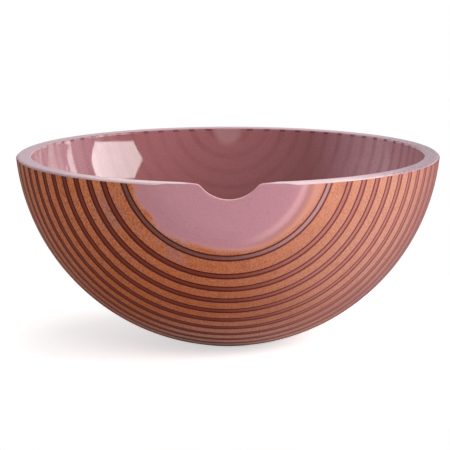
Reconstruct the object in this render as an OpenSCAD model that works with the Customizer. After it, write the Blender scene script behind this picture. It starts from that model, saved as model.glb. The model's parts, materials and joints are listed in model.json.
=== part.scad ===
// Round vessel sink in overlay glass, with its pop-up waste and tailpiece.
// Millimetres, +Z up. z = 0 is the countertop: the underside of the base gasket.
// The front, with the notch and the eye, faces -Y.

/* [Bowl] */
// Outside diameter of the rim
rim_diameter = 420; // [400:1:440]
// Thickness of glass and overlay together
wall = 15; // [12:0.5:18]
// Height of the sphere's centre above the rim
centre_rise = 20; // [10:0.5:40]
// Diameter of the flat ground under the bowl
foot_diameter = 92; // [84:1:120]
// Radius of the rounded edges of the rim
rim_round = 2; // [1:0.25:4]

/* [Notch] */
// Radius of the scoop in the front of the rim
notch_radius = 34; // [28:0.5:45]
// Depth of the scoop below the rim
notch_depth = 14.8; // [8:0.2:20]
// Radius of the shoulders where the scoop meets the rim
notch_shoulder = 8; // [4:0.5:12]
// Sideways place of the scoop
notch_offset = 1; // [-10:0.5:10]
// Slope of the scoop down into the bowl
notch_slope = 4; // [2:0.5:7]
// Length of the ground beside each shoulder, along the rim's inner edge
notch_flank = 15; // [10:1:45]

/* [Eye] */
// Half angle of the open eye, seen from the sphere's centre
eye_angle = 22.5; // [18:0.5:25]
// Angle from the eye's edge in to where its ground face starts
ground_margin = 2.5; // [1:0.5:4]
// Depth of glass ground off in the middle of the eye
ground_depth = 6; // [3:0.5:7]

/* [Overlay] */
// Thickness of the amber overlay
overlay = 0.8; // [0.6:0.1:1.2]
// Angle of the ring round the eye
first_ring = 28.2; // [27.5:0.1:29]
// Angle of the second ring
second_ring = 34.1; // [33:0.1:36]
// Number of rings from the second that are spaced by the front pitch
front_rings = 9; // [3:1:9]
// Angle from ring to ring at the front
front_pitch = 4.52; // [4.3:0.01:4.6]
// Number of rings after those, round the back
back_rings = 21; // [3:1:21]
// Angle from ring to ring at the back
back_pitch = 4.863; // [4.5:0.001:4.9]
// Tilt of the rings' axis, up at the front
axis_tilt = 2.3; // [0:0.1:4]
// Turn of the rings' axis, to the left at the front
axis_turn = 0.5; // [-2:0.1:2]
// Width of each ring
ring_width = 6.4; // [4:0.2:8]
// Thickness of the dark band that fills a ring
band_thickness = 0.6; // [0.3:0.05:0.75]

/* [Waste] */
// Diameter of the hole in the glass
hole_diameter = 45; // [44.5:0.5:48]
// Outside diameter of the flange in the bowl
flange_diameter = 68; // [64:1:70]
// Thickness of the flange
flange_thickness = 2.6; // [2:0.2:4]
// Outside diameter of the threaded shank
shank_diameter = 41.9; // [41.5:0.1:42]
// Inside diameter of the waste
throat_diameter = 37.6; // [36:0.2:38]
// Length of the waste below the flange's top
waste_length = 70; // [68:1:90]
// Thickness of the countertop that is clamped
counter_thickness = 24; // [15:1:25]

/* [Stopper] */
// Diameter of the domed cap
cap_diameter = 60; // [54:1:62]
// Radius of the dome
dome_radius = 90; // [70:5:150]
// Rise from shut to open
lift = 9; // [6:0.5:9]

/* [Tailpiece] */
// Outside diameter of the tube
tail_diameter = 31.75; // [31:0.05:32.5]
// Wall of the tube
tail_wall = 1.2; // [1:0.1:1.5]
// Length of the tube below its flange
tail_length = 100; // [60:5:150]

/* [Hidden] */
$fn = 96;
bowl_fn = 240;

// Fits, each between two pieces of this part
thread_fit = 0.05;   // radial, screwed together and still
slide_fit = 0.05;    // radial, the stem in its bushing
band_fit = 0.04;     // a band is this much narrower than the gap it lies in
shoulder_lap = 1;     // how far the ground beside the scoop runs level past each shoulder's end
shoulder_step = 0.04; // height of that level over the shoulder's end
flank_rise = 0.1;     // how far the ground beside the scoop ends over the rim's inner edge
free_gap = 0.35;     // between pieces that move past each other
past = 1;            // how far a cutter runs past what it cuts

// Bowl levels
sphere_r = norm([rim_diameter / 2, centre_rise]);
glass_r = sphere_r - overlay;
inner_r = sphere_r - wall;
reach = 1.25 * sphere_r;   // half the size of a cutter that takes in the whole bowl
base_gasket_t = 1.5;
base_gasket_r = 40;
foot_z = base_gasket_t;
centre_z = foot_z + sqrt(pow(sphere_r, 2) - pow(foot_diameter / 2, 2));
rim_z = centre_z - centre_rise;
rim_inner_r = sqrt(pow(inner_r, 2) - pow(centre_rise, 2));
overlay_top = rim_z - rim_round;

// Waste levels
seat_z = centre_z - sqrt(pow(inner_r, 2) - pow(hole_diameter / 2, 2)) + 0.2;
seat_r = flange_diameter / 2 + 1.5;
flange_gasket_t = 1.5;
flange_z = seat_z + flange_gasket_t;
top_z = flange_z + flange_thickness;
flange_edge = 0.8;
shank_r = shank_diameter / 2;
throat_r = throat_diameter / 2;
waste_z = top_z - waste_length;
seat_cone_r = 24;
seat_cone_h = 5;
web_h = 5;
web_depth = 44;
web_z = top_z - web_depth - web_h;
hub_r = 8.6;
arm_t = 3.2;
arms = 3;
pad_t = 1.6;
pad_w = 9;

// Hardware under the counter
washer_t = 7;
slip_t = 1;
nut_h = 12;
nut_flats = 54;
washer_z = -counter_thickness - washer_t;
slip_z = washer_z - slip_t;
nut_z = slip_z - nut_h;
washer_r = 33;
nut_chamfer = 2;

// Cartridge
stub_r = 5;
housing_r = 8.5;
bore_r = 6.5;
housing_z = web_z + web_h;
housing_floor = 2;
housing_h = 34;
housing_top = housing_z + housing_h;
plug_h = 2;
bushing_t = 3;
stem_r = 4;
piston_t = 3;
rotor_t = 3.5;
tooth_h = 1.6;
teeth = 8;
piston_top = housing_top - plug_h - 0.6;
piston_z = piston_top - piston_t;
rotor_top = piston_z - free_gap;
rotor_z = rotor_top - rotor_t;
spring_z = housing_z + housing_floor + free_gap;
spring_h = rotor_z - free_gap - spring_z;
wire_r = 0.6;
coil_r = 5;
coils = 6;
nut10_flats = 17;
nut10_h = 4;

// Stopper, drawn open
cap_z = top_z + 0.8 + lift;
cap_edge = 1.5;
boss_r = 15;
boss_h = 3;
lip_r = 16.5;
lip_t = 1.2;
stud_r = 3;
stud_h = 5;
seal_r = 23.2;
seal_low_r = 20.9;
dome_drop = sqrt(pow(dome_radius, 2) - pow(cap_diameter / 2, 2));

// Tailpiece
tail_r = tail_diameter / 2;
collar_r = throat_r - thread_fit;
collar_h = 12;
collar_wall = 2;
tail_gasket_t = 1.5;
tail_flange_t = 3;
tail_flange_r = 20.5;
tail_flange_z = waste_z - tail_gasket_t - tail_flange_t;
tail_z = tail_flange_z - tail_length;

glass_c = [0.66, 0.42, 0.44];
amber_c = [0.72, 0.45, 0.32];
band_c = [0.36, 0.2, 0.18];
chrome_c = [0.8, 0.81, 0.83];
rubber_c = [0.1, 0.1, 0.1];
clear_c = [0.82, 0.83, 0.84];
brass_c = [0.78, 0.6, 0.28];
poly_c = [0.9, 0.9, 0.88];

function arc(x, y, r, a0, a1, n = 8) =
    [for (i = [0:n]) [x + r * cos(a0 + (a1 - a0) * i / n), y + r * sin(a0 + (a1 - a0) * i / n)]];

// A tube from z0 up by h
module ring(r_out, r_in, z0, h) {
    translate([0, 0, z0]) difference() {
        cylinder(r = r_out, h = h);
        translate([0, 0, -past]) cylinder(r = r_in, h = h + 2 * past);
    }
}

// The slab of space between two levels
module between(z0, z1) {
    translate([0, 0, z0]) cylinder(r = reach, h = z1 - z0);
}

// A solid turned about the line from the sphere's centre to the middle of the eye
module about_front() {
    translate([0, 0, centre_z]) rotate([90 - axis_tilt, 0, -axis_turn]) rotate_extrude() children();
}

// The outline of one ring's cross-section, from radius r0 to r1 and centred on angle a
function wedge(a, r0, r1, width) = let (half = width / sphere_r * 90 / PI)
    [for (p = [[r0, a - half], [r1, a - half], [r1, a + half], [r0, a + half]])
        [p[0] * sin(p[1]), p[0] * cos(p[1])] / cos(half)];

last_front = second_ring + (front_rings - 1) * front_pitch;
ring_angles = concat([first_ring], [for (i = [0:front_rings - 1]) second_ring + i * front_pitch],
    [for (i = [1:back_rings]) last_front + i * back_pitch]);

module rim_edges() {
    outer = arc(rim_diameter / 2 - rim_round - 0.2, rim_z - rim_round, rim_round, 0, 90);
    inner = arc(rim_inner_r + rim_round, rim_z - rim_round, rim_round, 90, 180);
    rotate_extrude() polygon(concat([[rim_diameter / 2 + 2 * past, rim_z - rim_round]], outer,
        [[rim_diameter / 2 - rim_round, rim_z + past], [rim_diameter / 2 + 2 * past, rim_z + past]]));
    rotate_extrude() polygon(concat(inner,
        [[rim_inner_r - 3 * past, rim_z - rim_round], [rim_inner_r - 3 * past, rim_z + past],
         [rim_inner_r + rim_round, rim_z + past]]));
}

module notch() {
    up = notch_radius - notch_depth;
    span = notch_radius + notch_shoulder;
    side = sqrt(pow(span, 2) - pow(up + notch_shoulder, 2));
    meet = -notch_shoulder + (up + notch_shoulder) * notch_shoulder / span;
    run = side + notch_flank;
    far_edge = rim_diameter / 2 - sqrt(pow(rim_inner_r, 2) - pow(run + abs(notch_offset), 2));
    lift = far_edge * tan(notch_slope) + flank_rise;
    translate([notch_offset, -rim_diameter / 2, rim_z]) rotate([90 - notch_slope, 0, 0])
        translate([0, 0, -3 * wall]) linear_extrude(height = 4 * wall) {
            translate([0, up]) circle(r = notch_radius);
            difference() {
                translate([-side, meet]) square([2 * side, 2 * lift - meet]);
                for (s = [-1, 1]) translate([s * side, -notch_shoulder]) circle(r = notch_shoulder);
            }
            for (s = [-1, 1]) polygon([
                [s * (side - shoulder_lap), shoulder_step], [s * (side + shoulder_lap), shoulder_step],
                [s * run, lift], [s * run, 2 * lift], [s * (side - shoulder_lap), 2 * lift]]);
        }
}

// The larger sphere that the eye is ground to
module ground_eye() {
    angle = eye_angle - ground_margin;
    rise = glass_r * (1 - cos(angle)) - ground_depth;
    lens_r = (pow(glass_r * sin(angle), 2) + pow(rise, 2)) / (2 * rise);
    translate([0, 0, centre_z]) rotate([90 - axis_tilt, 0, -axis_turn])
        translate([0, 0, glass_r - ground_depth - lens_r]) sphere(r = lens_r, $fn = bowl_fn);
}

module glass_bowl() {
    color(glass_c) difference() {
        intersection() {
            translate([0, 0, centre_z]) sphere(r = glass_r, $fn = bowl_fn);
            ground_eye();
            between(foot_z, rim_z);
        }
        translate([0, 0, centre_z]) sphere(r = inner_r, $fn = bowl_fn);
        translate([0, 0, -past]) cylinder(r = hole_diameter / 2, h = 2 * seat_z);
        translate([0, 0, seat_z]) cylinder(r = seat_r, h = wall);
        rim_edges();
        notch();
    }
}

module amber_overlay() {
    color(amber_c) intersection() {
        about_front() difference() {
            circle(r = sphere_r, $fn = bowl_fn);
            circle(r = glass_r, $fn = bowl_fn);
            translate([-reach, -reach]) square([reach, 2 * reach]);
            polygon([[0, 0], [reach * tan(eye_angle), reach], [-past, reach], [-past, 0]]);
            for (a = ring_angles) polygon(wedge(a, glass_r - past, sphere_r + past, ring_width));
        }
        between(foot_z, overlay_top);
    }
}

module ring_bands() {
    color(band_c) intersection() {
        union() for (a = ring_angles) about_front()
            polygon(wedge(a, glass_r, glass_r + band_thickness, ring_width - band_fit));
        between(foot_z, overlay_top);
    }
}

module base_gasket() {
    color(clear_c) ring(base_gasket_r, hole_diameter / 2 + 0.1, 0, base_gasket_t);
}

module flange_gasket() {
    color(rubber_c) ring(flange_diameter / 2 - 0.5, shank_r + thread_fit, seat_z, flange_gasket_t);
}

module drain_body() {
    profile = [[throat_r, waste_z], [throat_r, top_z - seat_cone_h], [seat_cone_r, top_z],
        [flange_diameter / 2 - flange_edge, top_z], [flange_diameter / 2, top_z - flange_edge],
        [flange_diameter / 2, flange_z], [shank_r, flange_z],
        [shank_r, waste_z + flange_edge], [shank_r - flange_edge, waste_z]];
    color(chrome_c) rotate_extrude() polygon(profile);
}

module cartridge_bridge() {
    color(brass_c) difference() {
        union() {
            translate([0, 0, web_z]) cylinder(r = hub_r, h = web_h);
            for (i = [0:arms - 1]) rotate([0, 0, 90 + 360 / arms * i]) {
                translate([0, -arm_t / 2, web_z]) cube([throat_r - pad_t / 2, arm_t, web_h]);
                intersection() {
                    ring(throat_r - thread_fit, throat_r - pad_t, web_z, web_h);
                    translate([0, -pad_w / 2, web_z]) cube([throat_r, pad_w, web_h]);
                }
            }
        }
        translate([0, 0, web_z - past]) cylinder(r = stub_r + thread_fit, h = web_h + 2 * past);
    }
}

module lock_nut() {
    nut_r = nut_flats / 2 / cos(30);
    color(brass_c) difference() {
        intersection() {
            translate([0, 0, nut_z]) cylinder(r = nut_r, h = nut_h, $fn = 6);
            rotate_extrude() polygon([[0, nut_z], [nut_flats / 2, nut_z], [nut_r, nut_z + nut_chamfer],
                [nut_r, nut_z + nut_h], [0, nut_z + nut_h]]);
        }
        translate([0, 0, nut_z - past]) cylinder(r = shank_r + thread_fit, h = nut_h + 2 * past);
    }
}

module slip_washer() {
    color(poly_c) ring(nut_flats / 2 + 2, shank_r + thread_fit, slip_z, slip_t);
}

module counter_washer() {
    hole_in = shank_r + thread_fit;
    color(rubber_c) rotate_extrude() polygon([[hole_in, washer_z], [washer_r, washer_z],
        [washer_r, -counter_thickness - 2], [washer_r - 2, -counter_thickness], [hole_in, -counter_thickness]]);
}

module cartridge_housing() {
    color(poly_c) difference() {
        union() {
            translate([0, 0, housing_z]) cylinder(r = housing_r, h = housing_h);
            translate([0, 0, web_z - nut10_h - 1.5]) cylinder(r = stub_r, h = web_h + nut10_h + 1.6);
        }
        translate([0, 0, housing_z + housing_floor]) cylinder(r = bore_r, h = housing_h);
    }
}

module cartridge_bushing() {
    color(clear_c) difference() {
        union() {
            translate([0, 0, housing_top]) cylinder(r = housing_r, h = bushing_t);
            translate([0, 0, housing_top - plug_h]) cylinder(r = bore_r - thread_fit, h = plug_h + 0.1);
        }
        translate([0, 0, housing_top - plug_h - past])
            cylinder(r = stem_r + slide_fit, h = plug_h + bushing_t + 2 * past);
    }
}

module cartridge_nut() {
    color(brass_c) difference() {
        translate([0, 0, web_z - nut10_h]) cylinder(r = nut10_flats / 2 / cos(30), h = nut10_h, $fn = 6);
        translate([0, 0, web_z - nut10_h - past]) cylinder(r = stub_r + thread_fit, h = nut10_h + 2 * past);
    }
}

module cartridge_spring() {
    sweep = 360 * wire_r * coils / spring_h;
    section = [for (t = [0:30:330]) let (r = coil_r + wire_r * cos(t), a = sweep * sin(t))
        [r * cos(a), r * sin(a)]];
    color(chrome_c) translate([0, 0, spring_z])
        linear_extrude(height = spring_h, twist = -360 * coils, slices = 24 * coils, $fn = 12)
            polygon(section);
}

module index_rotor() {
    color(poly_c) difference() {
        translate([0, 0, rotor_z]) cylinder(r = bore_r - free_gap, h = rotor_t);
        translate([0, 0, rotor_z - past]) cylinder(r = stem_r / 2 + free_gap, h = rotor_t + 2 * past);
        for (i = [0:teeth - 1]) rotate([0, 0, 360 / teeth * i])
            translate([3, -0.6, rotor_top - tooth_h]) cube([bore_r, 1.2, tooth_h + past]);
    }
}

module stopper_stem() {
    color(chrome_c) union() {
        translate([0, 0, rotor_z]) cylinder(r = stem_r / 2, h = rotor_t + 1);
        translate([0, 0, piston_z]) cylinder(r = bore_r - free_gap, h = piston_t);
        translate([0, 0, piston_z]) cylinder(r = stem_r, h = cap_z - boss_h - lip_t - piston_z);
        translate([0, 0, cap_z - boss_h - lip_t - past]) cylinder(r = stud_r, h = stud_h + past);
    }
}

module stopper_cap() {
    color(chrome_c) difference() {
        union() {
            intersection() {
                translate([0, 0, cap_z]) cylinder(r = cap_diameter / 2, h = 20);
                translate([0, 0, cap_z + cap_edge - dome_drop]) sphere(r = dome_radius, $fn = 180);
            }
            translate([0, 0, cap_z - boss_h]) cylinder(r = boss_r, h = boss_h + 0.5);
            translate([0, 0, cap_z - boss_h - lip_t]) cylinder(r = lip_r, h = lip_t);
        }
        translate([0, 0, cap_z - boss_h - lip_t - past])
            cylinder(r = stud_r + thread_fit, h = stud_h + past + 0.3);
    }
}

module stopper_seal() {
    low = cap_z - boss_h;
    color(rubber_c) rotate_extrude() polygon([[boss_r, low], [seal_low_r, low],
        [seal_r, low + 2], [seal_r, cap_z], [boss_r, cap_z]]);
}

module tailpiece_gasket() {
    color(rubber_c) ring(tail_flange_r, collar_r + 0.1, waste_z - tail_gasket_t, tail_gasket_t);
}

module tailpiece() {
    bore = tail_r - tail_wall;
    collar_top = waste_z + collar_h;
    step_z = tail_flange_z + tail_flange_t;
    color(chrome_c) rotate_extrude() polygon([[bore, tail_z], [tail_r, tail_z], [tail_r, tail_flange_z],
        [tail_flange_r, tail_flange_z], [tail_flange_r, step_z], [collar_r, step_z],
        [collar_r, collar_top], [collar_r - collar_wall, collar_top],
        [collar_r - collar_wall, step_z], [bore, tail_flange_z]]);
}

glass_bowl();
amber_overlay();
ring_bands();
base_gasket();
flange_gasket();
drain_body();
lock_nut();
slip_washer();
counter_washer();
cartridge_bridge();
cartridge_housing();
cartridge_bushing();
cartridge_nut();
cartridge_spring();
index_rotor();
stopper_stem();
stopper_cap();
stopper_seal();
tailpiece_gasket();
tailpiece();
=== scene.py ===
import json
import math

import bmesh
import bpy
import numpy as np
from bpy.props import FloatProperty, FloatVectorProperty, IntProperty, PointerProperty
from bpy.types import Operator, Panel, PropertyGroup
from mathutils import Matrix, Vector


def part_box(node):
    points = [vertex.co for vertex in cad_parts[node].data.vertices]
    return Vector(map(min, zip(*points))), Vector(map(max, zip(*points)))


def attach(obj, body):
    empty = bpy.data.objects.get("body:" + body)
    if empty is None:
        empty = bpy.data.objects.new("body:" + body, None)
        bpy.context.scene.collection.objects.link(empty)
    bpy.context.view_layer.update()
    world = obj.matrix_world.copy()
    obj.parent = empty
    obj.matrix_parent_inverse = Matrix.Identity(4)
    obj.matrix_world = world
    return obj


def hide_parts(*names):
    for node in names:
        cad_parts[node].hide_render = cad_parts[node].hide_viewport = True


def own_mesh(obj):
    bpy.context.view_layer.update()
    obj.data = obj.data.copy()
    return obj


bl_info = {
    "name": "Overlay Glass Vessel Sink",
    "version": (1, 0, 0),
    "blender": (4, 5, 0),
    "location": "View3D > Sidebar > Sink",
    "description": "Builds a round overlay-glass vessel sink, its waste and its studio",
    "category": "Add Mesh",
}

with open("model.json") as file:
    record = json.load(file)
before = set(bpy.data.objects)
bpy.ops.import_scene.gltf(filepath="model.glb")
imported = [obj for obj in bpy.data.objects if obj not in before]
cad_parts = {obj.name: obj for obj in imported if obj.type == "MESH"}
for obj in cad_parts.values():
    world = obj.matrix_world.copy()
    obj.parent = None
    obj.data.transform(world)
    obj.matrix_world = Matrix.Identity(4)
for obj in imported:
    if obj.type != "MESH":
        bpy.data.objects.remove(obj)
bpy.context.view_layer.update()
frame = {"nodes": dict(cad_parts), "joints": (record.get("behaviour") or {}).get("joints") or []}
BASIN = "basin"     # the fixed body, which every piece made here rides on
FINISHED = {"FINISHED"}
RIM_SPAN = 0.018    # the rim's width in the "lip" attribute, which starts at its inner edge
AROUND = 201        # points of an overlay zone and of a band from rim to rim
TURNS = 120         # steps round the waste
PLAIN = 0.0014      # shank without a thread under the flange
BREAK = 0.0004      # the smallest broken edge of the ground glass
CORNER = 0.0003     # cut off the edges of the seat, the grooves and the waste's bore
MERGE = 0.000002    # points closer than this are one
SHARP = math.radians(40)    # edges steeper than this stay sharp

AMBIENT = 0.4       # strength of the surroundings as light
# name, degrees round from the front to the right, degrees up, metres away, metres across, watts
LAMPS = (
    ("key", 66, 24, 2.1, 1.1, 26.0),
    ("front", 15, 32, 2.4, 1.2, 11.0),
    ("top", 150, 75, 2.2, 1.8, 16.0),
)
SOFTBOX = ((-0.61, -0.29), (0.37, -0.15), (0.49, 0.22), (0.13, 0.47), (-0.81, 0.23), (-0.81, -0.06))


# ---- settings ----

def length(name, description, default, low=0.0001, high=2.0):
    return FloatProperty(name=name, description=description, default=default, min=low, max=high,
                         unit="LENGTH", subtype="DISTANCE", precision=4)


def angle(name, description, degrees):
    return FloatProperty(name=name, description=description, default=math.radians(degrees),
                         unit="ROTATION", subtype="ANGLE")


def count(name, description, default, high):
    return IntProperty(name=name, description=description, default=default, min=3, max=high)


def colour(name, description, srgb):
    return FloatVectorProperty(name=name, description=description, size=3, min=0.0, max=1.0,
                               subtype="COLOR", default=[linear(c / 255) for c in srgb])


def linear(c):
    return c / 12.92 if c <= 0.04045 else ((c + 0.055) / 1.055) ** 2.4


class SinkSizes(PropertyGroup):
    rim_diameter: length("Rim diameter", "Outside diameter of the rim", 0.42)
    centre_rise: length("Centre rise", "Height of the sphere's centre above the rim", 0.02)
    wall: length("Wall", "Thickness of glass and overlay together", 0.015)
    foot_diameter: length("Foot diameter", "Flat ground under the bowl", 0.092)
    foot_z: length("Foot height", "Height of the foot above the countertop", 0.0015)
    rim_round: length("Rim rounding", "Radius of the rim's edges", 0.002)
    notch_radius: length("Notch radius", "Radius of the scoop in the front", 0.034)
    notch_depth: length("Notch depth", "Depth of the scoop below the rim", 0.0148)
    notch_shoulder: length("Notch shoulder", "Radius where the scoop meets the rim", 0.008)
    notch_offset: length("Notch offset", "Sideways place of the scoop", 0.001)
    notch_slope: angle("Notch slope", "Slope of the scoop down into the bowl", 4.0)
    notch_flank: length("Notch flank", "Length of the ground beside each shoulder", 0.015)
    hole_diameter: length("Hole diameter", "Waste hole in the glass", 0.045)
    seat_radius: length("Seat radius", "Radius of the recess for the flange", 0.0355)
    overlay: length("Overlay", "Thickness of the amber overlay", 0.0008)
    eye: angle("Eye", "Half angle of the open eye", 22.5)
    ground_margin: angle("Ground margin", "Angle from the eye's edge in to its ground face", 2.5)
    ground_depth: length("Ground depth", "Glass ground off in the middle of the eye", 0.006)
    eye_fade: angle("Eye fade", "Angle over which the overlay thins out towards the eye", 4.6)
    first_ring: angle("First ring", "Angle of the ring round the eye", 28.2)
    second_ring: angle("Second ring", "Angle where the even spacing starts", 34.1)
    front_pitch: angle("Front pitch", "Angle from ring to ring at the front", 4.52)
    back_pitch: angle("Back pitch", "Angle from ring to ring round the back", 4.863)
    front_rings: count("Front rings", "Rings at the front pitch", 9, 9)
    back_rings: count("Back rings", "Rings at the back pitch", 21, 21)
    axis_tilt: angle("Axis tilt", "Tilt of the rings' axis, up at the front", 2.3)
    axis_turn: angle("Axis turn", "Turn of the rings' axis, to the left at the front", 0.5)
    ring_width: length("Ring width", "Width of each ring", 0.0064)
    band: length("Band thickness", "Thickness of the dark band in a ring", 0.0006)
    throat_radius: length("Throat radius", "Radius of the waste's throat", 0.0188)
    seat_cone: length("Seat cone", "Radius of the cone that the stopper sits in", 0.024)
    seat_depth: length("Seat depth", "Depth of that cone", 0.005)
    flange_width: length("Flange width", "Diameter of the waste's flange", 0.068)
    flange_thickness: length("Flange thickness", "Thickness of the flange", 0.0026)
    flange_edge: length("Flange edge", "Rounding of the flange's edge", 0.0008)
    flange_z: length("Flange height", "Underside of the flange above the countertop", 0.01442)
    waste_z: length("Waste end", "Lower end of the waste", -0.05298, low=-1.0)
    coil_radius: length("Coil radius", "Radius of the spring's helix", 0.005)
    wire_radius: length("Wire radius", "Radius of the spring's wire", 0.0006)
    coils: count("Coils", "Turns of the spring", 6, 12)
    shank_radius: length("Shank radius", "Crest radius of the shank's thread", 0.02095)
    thread_depth: length("Thread depth", "Depth of the shank's thread", 0.0012)
    thread_pitch: length("Thread pitch", "Pitch of the shank's thread", 0.002309)


class SinkColours(PropertyGroup):
    amber: colour("Amber", "Overlay high on the bowl", (212, 126, 82))
    amber_deep: colour("Deep amber", "Overlay low on the bowl", (176, 96, 54))
    amber_brown: colour("Brown amber", "Mottling of the overlay", (132, 64, 40))
    # painted sheen: the overlay paled towards the lit right, not thinner there
    amber_sheen: colour("Rose amber", "Overlay towards the right, where it is thinner", (200, 155, 143))
    amber_bright: colour("Bright amber", "Saturated patches on the left", (186, 96, 44))
    veil: colour("Veil", "Greyish patches beside the first rings", (172, 122, 116))
    amber_low: colour("Low amber", "Overlay just above the foot", (200, 156, 142))
    salmon: colour("Salmon", "Thinned overlay round the eye", (205, 143, 128))
    salmon_shade: colour("Shaded salmon", "Shade outside the pale arc", (168, 110, 96))
    band_edge: colour("Band edge", "Edge lines of a ring", (86, 28, 23))
    # painted light: the ring's edge lines lighter towards the lit right
    band_edge_lit: colour("Band edge on the right", "Edge lines of a ring towards the right", (132, 66, 58))
    band_middle: colour("Band middle", "Middle of a ring", (140, 76, 60))
    # painted light: the ring's middle lighter towards the lit right
    band_middle_lit: colour("Mauve band", "Middle of a ring towards the right", (176, 116, 112))
    band_grey: colour("Grey band", "Middle of the ring round the eye", (132, 100, 94))
    # painted light on the middle of the ring round the eye, towards the right
    band_grey_lit: colour("Steel band", "Middle of that ring towards the right", (176, 140, 146))
    # painted shade on the overlay and the rings at the far right side
    far_right_shade: colour("Far right", "Overlay and rings at the far right", (134, 80, 82))
    eye: colour("Eye", "Rose glass outside, in the open eye", (192, 135, 146))
    # painted highlight: the pale arc inside the eye's right edge
    eye_highlight: colour("Pale eye edge", "Pale arc inside the eye's right edge", (232, 184, 178))
    inside: colour("Inside", "Rose glass inside", (166, 103, 107))
    inside_deep: colour("Inside deep", "Rose glass inside, low down", (114, 58, 57))
    # painted light on the inside near the left end
    inside_lit_left: colour("Inside on the left", "Rose glass inside, near the left end", (206, 158, 167))
    # painted light on the inside near the right end
    inside_lit_right: colour("Inside on the right", "Rose glass inside, near the right end", (226, 172, 184))
    notch: colour("Notch", "Ground floor of the notch", (206, 150, 154))
    spot: colour("Back spot", "Pale disc in the middle of the back wall", (178, 130, 132))
    rim: colour("Rim", "Ground rim at the front", (226, 196, 198))
    rim_grey: colour("Grey rim", "Ground rim at the sides and the back", (190, 154, 166))
    rim_dark: colour("Dark streaks", "Streaks across the ground rim", (96, 72, 80))


class StudioSettings(PropertyGroup):
    camera_distance: length("Camera distance", "From the lens to the aim point", 2.6, high=9.0)
    camera_elevation: angle("Camera elevation", "Angle of the camera above the horizon", 9.49)
    camera_roll: angle("Camera roll", "Turn of the camera about its own line of sight", -0.11)
    aim_x: length("Aim X", "Aim point, sideways", -0.003, low=-1.0)
    aim_z: length("Aim Z", "Aim point, upwards", 0.1151)
    focal: length("Focal length", "On a frame of full width", 0.208376)


# ---- shader maths ----

def maths(operation):
    """A method of Socket that makes one Math node."""
    def method(self, *others):
        return self.build.stack("ShaderNodeMath", self, *others, operation=operation)
    return method


class Socket:
    """A node socket with arithmetic, so that a shader reads as the formula that it is."""
    __add__ = __radd__ = maths("ADD")
    __sub__ = maths("SUBTRACT")
    __mul__ = __rmul__ = maths("MULTIPLY")
    __truediv__ = maths("DIVIDE")
    abs = maths("ABSOLUTE")
    sin = maths("SINE")
    cos = maths("COSINE")
    acos = maths("ARCCOSINE")
    make_angle = maths("ARCTAN2")    # of a point whose y is the socket and whose x is the other
    floor = maths("FLOOR")
    power = maths("POWER")
    minimum = maths("MINIMUM")
    maximum = maths("MAXIMUM")
    below = maths("LESS_THAN")

    def __init__(self, build, socket):
        self.build = build
        self.socket = socket

    def __rsub__(self, number):
        return self.build.value(number) - self

    def __neg__(self):
        return self * -1.0

    def clamp(self):
        return self.build.stack("ShaderNodeMath", self, 0.0, operation="ADD", use_clamp=True)

    def ramp(self, low, high):
        """0 below low, 1 above high and smooth between them; low may be the larger."""
        smooth = {"interpolation_type": "SMOOTHSTEP"}
        return self.build.make("ShaderNodeMapRange", smooth, Value=self, From_Min=low, From_Max=high)


class Build:
    """What a shader tree and a geometry tree share: nodes, fed by a value or by a socket."""
    tree = None

    def node(self, kind, **settings):
        """One bare node with its settings."""
        made = self.tree.nodes.new(kind)
        for key, value in settings.items():
            setattr(made, key, value)
        return made

    def feed(self, target, value):
        """Links a socket to the target, or sets it to a number, a colour, a vector or another value."""
        if isinstance(value, Socket):
            value = value.socket
        if isinstance(value, bpy.types.NodeSocket):
            self.tree.links.new(value, target)
        elif hasattr(value, "__len__") and len(value) == 3 and target.type == "RGBA":
            target.default_value = (*value, 1.0)
        else:
            target.default_value = value

    def make(self, kind, settings=None, out=0, **sockets):
        """One node with its settings and the values or links of its sockets, as the output asked for."""
        made = self.node(kind, **(settings or {}))
        for key, value in sockets.items():
            self.feed(made.inputs[key.replace("_", " ")], value)
        return Socket(self, made.outputs[out])

    def value(self, number):
        made = self.node("ShaderNodeValue")
        made.outputs[0].default_value = number
        return Socket(self, made.outputs[0])

    def split(self, vector):
        made = self.node("ShaderNodeSeparateXYZ")
        self.feed(made.inputs[0], vector)
        return [Socket(self, output) for output in made.outputs]

    def combine(self, x, y, z):
        return self.make("ShaderNodeCombineXYZ", X=x, Y=y, Z=z)

    def stack(self, kind, *values, **settings):
        """One node whose first sockets take the values in their order."""
        made = self.node(kind, **settings)
        for target, value in zip(made.inputs, values):
            self.feed(target, value)
        return Socket(self, made.outputs[0])

    def seen(self, *kinds):
        """1 on rays of these kinds and 0 on all others."""
        path = self.node("ShaderNodeLightPath")
        share = self.value(0.0)
        for kind in kinds:
            share = share.maximum(path.outputs[f"Is {kind} Ray"])
        return share


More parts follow.
